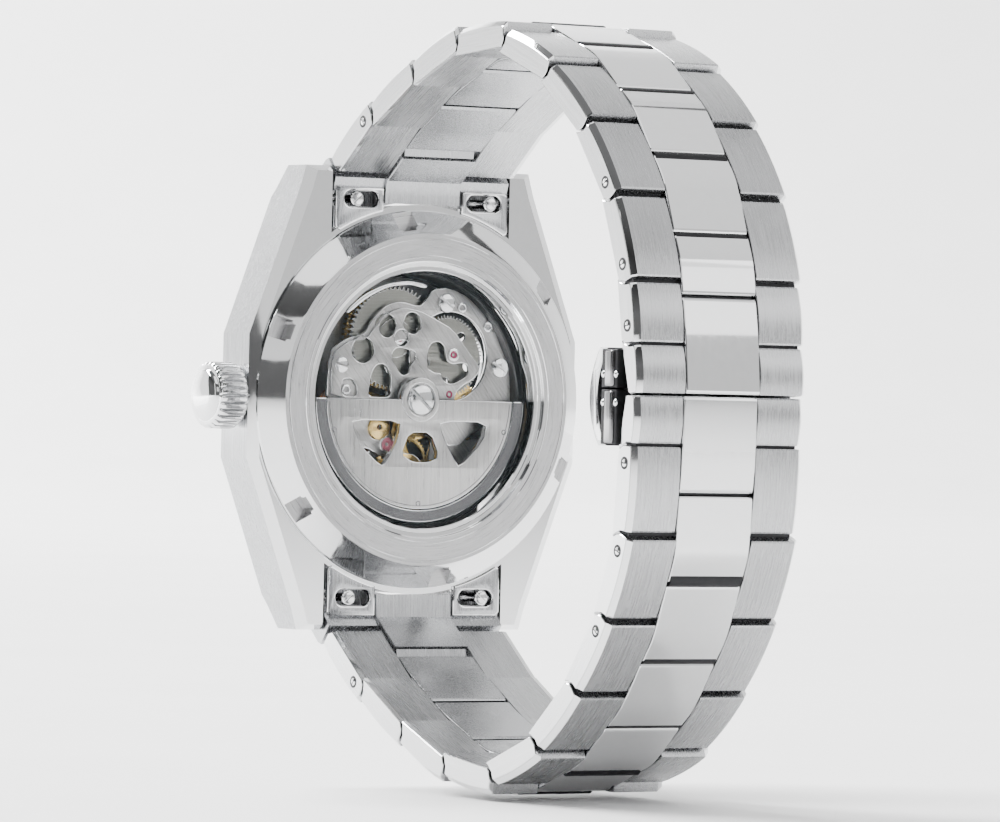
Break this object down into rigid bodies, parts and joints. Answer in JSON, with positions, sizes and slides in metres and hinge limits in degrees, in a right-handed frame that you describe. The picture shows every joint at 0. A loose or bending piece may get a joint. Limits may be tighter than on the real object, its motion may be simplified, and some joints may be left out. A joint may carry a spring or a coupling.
{
  "type": "wristwatch",
  "caption": "Automatic skeleton wristwatch with a glazed caseback, a three-row steel bracelet and a butterfly clasp.",
  "frame": {"origin": "centre of the caseback's outer face", "axes": "+Y out of the caseback towards the wrist, +Z towards 12 o'clock, +X towards the crown; the dial faces -Y"},
  "size_m": [0.0453, 0.066, 0.0796],
  "materials": {
    "steel_brushed": "brushed",
    "steel_polished": "polished",
    "bridge_silver": "diagonally brushed",
    "rotor_weight": "fine matte grain",
    "movement_black": "satin black",
    "gilt": "gilt, fine brushed",
    "copper_alloy": "polished copper alloy",
    "sapphire": "clear, anti-reflection tint",
    "button_steel": "dark polished",
    "blued_steel": "blued"
  },
  "bodies": {
    "case": {"case_middle": "steel_brushed", "bezel": "steel_polished", "front_crystal": "sapphire", "flange_ring": "movement_black", "dial_plate": "movement_black", "main_plate": "bridge_silver", "movement_ring": "movement_black", "train_bridge": "bridge_silver", "balance_cock": "bridge_silver", "caseback_ring": "steel_polished", "caseback_glass": "sapphire", "end_link_upper": "steel_brushed", "end_link_lower": "steel_brushed"},
    "rotor": {"rotor_plate": "bridge_silver", "rotor_weight": "rotor_weight"},
    "reduction_wheel": {"reduction_wheel": "bridge_silver"},
    "ratchet_wheel": {"ratchet_wheel": "bridge_silver"},
    "fourth_wheel": {"fourth_wheel": "gilt", "second_hand": "blued_steel"},
    "centre_wheel": {"centre_wheel": "gilt", "minute_hand": "steel_polished"},
    "third_wheel": {"third_wheel": "gilt"},
    "hour_hand": {"hour_hand": "steel_polished"},
    "escape_wheel": {"escape_wheel": "bridge_silver"},
    "barrel_drum": {"barrel_drum": "gilt"},
    "balance_wheel": {"balance_wheel": "copper_alloy"},
    "pallet_fork": {"pallet_fork": "steel_polished"},
    "winding_pinion": {"winding_pinion": "steel_polished"},
    "crown": {"crown": "steel_polished"},
    "link_upper_1": {"link_upper_1": "steel_brushed"},
    "link_upper_2": {"link_upper_2": "steel_brushed"},
    "link_upper_3": {"link_upper_3": "steel_brushed"},
    "link_upper_4": {"link_upper_4": "steel_brushed"},
    "link_upper_5": {"link_upper_5": "steel_brushed"},
    "link_upper_6": {"link_upper_6": "steel_brushed"},
    "link_upper_7": {"link_upper_7": "steel_brushed"},
    "link_upper_8": {"link_upper_8": "steel_brushed"},
    "link_upper_9": {"link_upper_9": "steel_brushed"},
    "clasp_end_upper": {"clasp_end_upper": "steel_polished"},
    "button_upper_right": {"button_upper_right": "button_steel"},
    "release_pin_upper_right": {"release_pin_upper_right": "steel_polished"},
    "button_upper_left": {"button_upper_left": "button_steel"},
    "release_pin_upper_left": {"release_pin_upper_left": "steel_polished"},
    "link_lower_1": {"link_lower_1": "steel_brushed"},
    "link_lower_2": {"link_lower_2": "steel_brushed"},
    "link_lower_3": {"link_lower_3": "steel_brushed"},
    "link_lower_4": {"link_lower_4": "steel_brushed"},
    "link_lower_5": {"link_lower_5": "steel_brushed"},
    "link_lower_6": {"link_lower_6": "steel_brushed"},
    "link_lower_7": {"link_lower_7": "steel_brushed"},
    "link_lower_8": {"link_lower_8": "steel_brushed"},
    "link_lower_9": {"link_lower_9": "steel_brushed"},
    "clasp_end_lower": {"clasp_end_lower": "steel_polished"},
    "button_lower_right": {"button_lower_right": "button_steel"},
    "release_pin_lower_right": {"release_pin_lower_right": "steel_polished"},
    "button_lower_left": {"button_lower_left": "button_steel"},
    "release_pin_lower_left": {"release_pin_lower_left": "steel_polished"},
    "clasp_arm_upper": {"clasp_arm_upper": "steel_brushed"},
    "clasp_spine": {"clasp_spine": "steel_polished"},
    "clasp_arm_lower": {"clasp_arm_lower": "steel_brushed"}
  },
  "joints": [
    {"name": "rotor_spin", "type": "hinge", "parent": "case", "child": "rotor", "pos_m": [0, -0.0019, 0], "axis": [0, 1, 0], "continuous": true},
    {"name": "reduction_wheel_turn", "type": "hinge", "parent": "case", "child": "reduction_wheel", "pos_m": [-0.0046, -0.00395, 0.00467], "axis": [0, 1, 0], "continuous": true},
    {"name": "ratchet_wheel_turn", "type": "hinge", "parent": "case", "child": "ratchet_wheel", "pos_m": [0.0019, -0.0045, 0.00645], "axis": [0, 1, 0], "continuous": true},
    {"name": "seconds_turn", "type": "hinge", "parent": "case", "child": "fourth_wheel", "pos_m": [0, -0.005, -0.0069], "axis": [0, 1, 0], "continuous": true},
    {"name": "centre_wheel_turn", "type": "hinge", "parent": "case", "child": "centre_wheel", "pos_m": [0, -0.0061, 0], "axis": [0, 1, 0], "continuous": true},
    {"name": "third_wheel_turn", "type": "hinge", "parent": "case", "child": "third_wheel", "pos_m": [-0.0044, -0.0055, -0.0038], "axis": [0, 1, 0], "continuous": true},
    {"name": "hour_hand_turn", "type": "hinge", "parent": "case", "child": "hour_hand", "pos_m": [0, -0.0087, 0], "axis": [0, 1, 0], "continuous": true},
    {"name": "escape_wheel_turn", "type": "hinge", "parent": "case", "child": "escape_wheel", "pos_m": [0.0039, -0.0055, -0.0082], "axis": [0, 1, 0], "continuous": true},
    {"name": "barrel_drum_turn", "type": "hinge", "parent": "case", "child": "barrel_drum", "pos_m": [0.0019, -0.0053, 0.00645], "axis": [0, 1, 0], "continuous": true},
    {"name": "balance_swing", "type": "hinge", "parent": "case", "child": "balance_wheel", "pos_m": [0.0076, -0.0044, -0.0026], "axis": [0, 1, 0], "range_deg": [-140, 140], "stiffness_Nm_per_rad": 0.000002},
    {"name": "pallet_fork_rock", "type": "hinge", "parent": "case", "child": "pallet_fork", "pos_m": [0.0055, -0.0055, -0.0058], "axis": [0, 1, 0], "range_deg": [-5.1, 5.1]},
    {"name": "crown_turn", "type": "hinge", "parent": "case", "child": "winding_pinion", "pos_m": [0.0123, -0.0051, 0], "axis": [1, 0, 0], "continuous": true},
    {"name": "crown_pull", "type": "slide", "parent": "winding_pinion", "child": "crown", "axis": [1, 0, 0], "range_m": [0, 0.0015]},
    {"name": "bracelet_unfold", "type": "hinge", "parent": "case", "child": "link_upper_1", "pos_m": [0, -0.001, 0.0257], "axis": [1, 0, 0], "range_deg": [0, 27]},
    {"name": "link_hinge_upper_2", "type": "hinge", "parent": "link_upper_1", "child": "link_upper_2", "pos_m": [0, 0.00322, 0.02899], "axis": [1, 0, 0], "range_deg": [0, 1.78]},
    {"name": "link_hinge_upper_3", "type": "hinge", "parent": "link_upper_2", "child": "link_upper_3", "pos_m": [0, 0.01087, 0.03324], "axis": [1, 0, 0], "range_deg": [0, 0.277]},
    {"name": "link_hinge_upper_4", "type": "hinge", "parent": "link_upper_3", "child": "link_upper_4", "pos_m": [0, 0.01898, 0.03651], "axis": [1, 0, 0], "range_deg": [-1.17, 0]},
    {"name": "link_hinge_upper_5", "type": "hinge", "parent": "link_upper_4", "child": "link_upper_5", "pos_m": [0, 0.02771, 0.03712], "axis": [1, 0, 0], "range_deg": [-2.13, 0]},
    {"name": "link_hinge_upper_6", "type": "hinge", "parent": "link_upper_5", "child": "link_upper_6", "pos_m": [0, 0.03593, 0.03413], "axis": [1, 0, 0], "range_deg": [-2.4, 0]},
    {"name": "link_hinge_upper_7", "type": "hinge", "parent": "link_upper_6", "child": "link_upper_7", "pos_m": [0, 0.04292, 0.02887], "axis": [1, 0, 0], "range_deg": [-2.21, 0]},
    {"name": "link_hinge_upper_8", "type": "hinge", "parent": "link_upper_7", "child": "link_upper_8", "pos_m": [0, 0.04831, 0.02197], "axis": [1, 0, 0], "range_deg": [-1.71, 0]},
    {"name": "link_hinge_upper_9", "type": "hinge", "parent": "link_upper_8", "child": "link_upper_9", "pos_m": [0, 0.05159, 0.01386], "axis": [1, 0, 0], "range_deg": [-0.985, 0]},
    {"name": "clasp_end_hinge_upper", "type": "hinge", "parent": "link_upper_9", "child": "clasp_end_upper", "pos_m": [0, 0.05255, 0.00778], "axis": [1, 0, 0], "range_deg": [-0.389, 0]},
    {"name": "button_press_upper_right", "type": "slide", "parent": "clasp_end_upper", "child": "button_upper_right", "axis": [-1, 0, 0], "range_m": [0, 0.0008], "stiffness_N_per_m": 400},
    {"name": "release_upper_right", "type": "slide", "parent": "case", "child": "release_pin_upper_right", "axis": [-1, 0, 0], "range_m": [0, 0.0012], "stiffness_N_per_m": 500},
    {"name": "button_press_upper_left", "type": "slide", "parent": "clasp_end_upper", "child": "button_upper_left", "axis": [1, 0, 0], "range_m": [0, 0.0008], "stiffness_N_per_m": 400},
    {"name": "release_upper_left", "type": "slide", "parent": "case", "child": "release_pin_upper_left", "axis": [1, 0, 0], "range_m": [0, 0.0012], "stiffness_N_per_m": 500},
    {"name": "link_hinge_lower_1", "type": "hinge", "parent": "case", "child": "link_lower_1", "pos_m": [0, -0.0004, -0.0264], "axis": [1, 0, 0], "range_deg": [-27.02, 0]},
    {"name": "link_hinge_lower_2", "type": "hinge", "parent": "link_lower_1", "child": "link_lower_2", "pos_m": [0, 0.00382, -0.02969], "axis": [1, 0, 0], "range_deg": [-2.8, 0]},
    {"name": "link_hinge_lower_3", "type": "hinge", "parent": "link_lower_2", "child": "link_lower_3", "pos_m": [0, 0.01147, -0.03394], "axis": [1, 0, 0], "range_deg": [-0.792, 0]},
    {"name": "link_hinge_lower_4", "type": "hinge", "parent": "link_lower_3", "child": "link_lower_4", "pos_m": [0, 0.01958, -0.03721], "axis": [1, 0, 0], "range_deg": [0, 1.19]},
    {"name": "link_hinge_lower_5", "type": "hinge", "parent": "link_lower_4", "child": "link_lower_5", "pos_m": [0, 0.02827, -0.03828], "axis": [1, 0, 0], "range_deg": [0, 2.71]},
    {"name": "link_hinge_lower_6", "type": "hinge", "parent": "link_lower_5", "child": "link_lower_6", "pos_m": [0, 0.03644, -0.03514], "axis": [1, 0, 0], "range_deg": [0, 3.23]},
    {"name": "link_hinge_lower_7", "type": "hinge", "parent": "link_lower_6", "child": "link_lower_7", "pos_m": [0, 0.04314, -0.02952], "axis": [1, 0, 0], "range_deg": [0, 3.05]},
    {"name": "link_hinge_lower_8", "type": "hinge", "parent": "link_lower_7", "child": "link_lower_8", "pos_m": [0, 0.0484, -0.02253], "axis": [1, 0, 0], "range_deg": [0, 2.5]},
    {"name": "link_hinge_lower_9", "type": "hinge", "parent": "link_lower_8", "child": "link_lower_9", "pos_m": [0, 0.05182, -0.01448], "axis": [1, 0, 0], "range_deg": [0, 1.67]},
    {"name": "clasp_end_hinge_lower", "type": "hinge", "parent": "link_lower_9", "child": "clasp_end_lower", "pos_m": [0, 0.05259, -0.00576], "axis": [1, 0, 0], "range_deg": [0, 0.623]},
    {"name": "button_press_lower_right", "type": "slide", "parent": "clasp_end_lower", "child": "button_lower_right", "axis": [-1, 0, 0], "range_m": [0, 0.0008], "stiffness_N_per_m": 400},
    {"name": "release_lower_right", "type": "slide", "parent": "case", "child": "release_pin_lower_right", "axis": [-1, 0, 0], "range_m": [0, 0.0012], "stiffness_N_per_m": 500},
    {"name": "button_press_lower_left", "type": "slide", "parent": "clasp_end_lower", "child": "button_lower_left", "axis": [1, 0, 0], "range_m": [0, 0.0008], "stiffness_N_per_m": 400},
    {"name": "release_lower_left", "type": "slide", "parent": "case", "child": "release_pin_lower_left", "axis": [1, 0, 0], "range_m": [0, 0.0012], "stiffness_N_per_m": 500},
    {"name": "arm_upper_pivot", "type": "hinge", "parent": "clasp_end_upper", "child": "clasp_arm_upper", "pos_m": [0, 0.0497, 0.0057], "axis": [1, 0, 0], "range_deg": [0, 132.29]},
    {"name": "spine_hinge_upper", "type": "hinge", "parent": "clasp_arm_upper", "child": "clasp_spine", "pos_m": [0, 0.0456, 0.017], "axis": [1, 0, 0], "range_deg": [-150.46, 0]},
    {"name": "spine_hinge_lower", "type": "hinge", "parent": "clasp_spine", "child": "clasp_arm_lower", "pos_m": [0, 0.0456, -0.0139], "axis": [1, 0, 0], "range_deg": [-150.31, 0]}
  ],
  "couplings": [
    {"joint": "reduction_wheel_turn", "follows": "rotor_spin", "ratio": -0.617},
    {"joint": "ratchet_wheel_turn", "follows": "rotor_spin", "ratio": 0.0878},
    {"joint": "centre_wheel_turn", "follows": "seconds_turn", "ratio": 0.016667},
    {"joint": "third_wheel_turn", "follows": "seconds_turn", "ratio": -0.13333},
    {"joint": "hour_hand_turn", "follows": "seconds_turn", "ratio": 0.0013889},
    {"joint": "escape_wheel_turn", "follows": "seconds_turn", "ratio": -7},
    {"joint": "barrel_drum_turn", "follows": "seconds_turn", "ratio": -0.0020833},
    {"joint": "pallet_fork_rock", "follows": "balance_swing", "ratio": -0.036},
    {"joint": "link_hinge_upper_2", "follows": "bracelet_unfold", "ratio": 0.065153},
    {"joint": "link_hinge_upper_3", "follows": "bracelet_unfold", "ratio": 0.009534},
    {"joint": "link_hinge_upper_4", "follows": "bracelet_unfold", "ratio": -0.042558},
    {"joint": "link_hinge_upper_5", "follows": "bracelet_unfold", "ratio": -0.078212},
    {"joint": "link_hinge_upper_6", "follows": "bracelet_unfold", "ratio": -0.088177},
    {"joint": "link_hinge_upper_7", "follows": "bracelet_unfold", "ratio": -0.081054},
    {"joint": "link_hinge_upper_8", "follows": "bracelet_unfold", "ratio": -0.062586},
    {"joint": "link_hinge_upper_9", "follows": "bracelet_unfold", "ratio": -0.035748},
    {"joint": "clasp_end_hinge_upper", "follows": "bracelet_unfold", "ratio": -0.013671},
    {"joint": "link_hinge_lower_1", "follows": "bracelet_unfold", "ratio": -1},
    {"joint": "link_hinge_lower_2", "follows": "bracelet_unfold", "ratio": -0.1028},
    {"joint": "link_hinge_lower_3", "follows": "bracelet_unfold", "ratio": -0.028597},
    {"joint": "link_hinge_lower_4", "follows": "bracelet_unfold", "ratio": 0.043432},
    {"joint": "link_hinge_lower_5", "follows": "bracelet_unfold", "ratio": 0.09981},
    {"joint": "link_hinge_lower_6", "follows": "bracelet_unfold", "ratio": 0.11897},
    {"joint": "link_hinge_lower_7", "follows": "bracelet_unfold", "ratio": 0.11221},
    {"joint": "link_hinge_lower_8", "follows": "bracelet_unfold", "ratio": 0.091688},
    {"joint": "link_hinge_lower_9", "follows": "bracelet_unfold", "ratio": 0.061229},
    {"joint": "clasp_end_hinge_lower", "follows": "bracelet_unfold", "ratio": 0.022345},
    {"joint": "arm_upper_pivot", "follows": "bracelet_unfold", "ratio": 4.899},
    {"joint": "spine_hinge_upper", "follows": "bracelet_unfold", "ratio": -5.5717},
    {"joint": "spine_hinge_lower", "follows": "bracelet_unfold", "ratio": -5.5662}
  ]
}
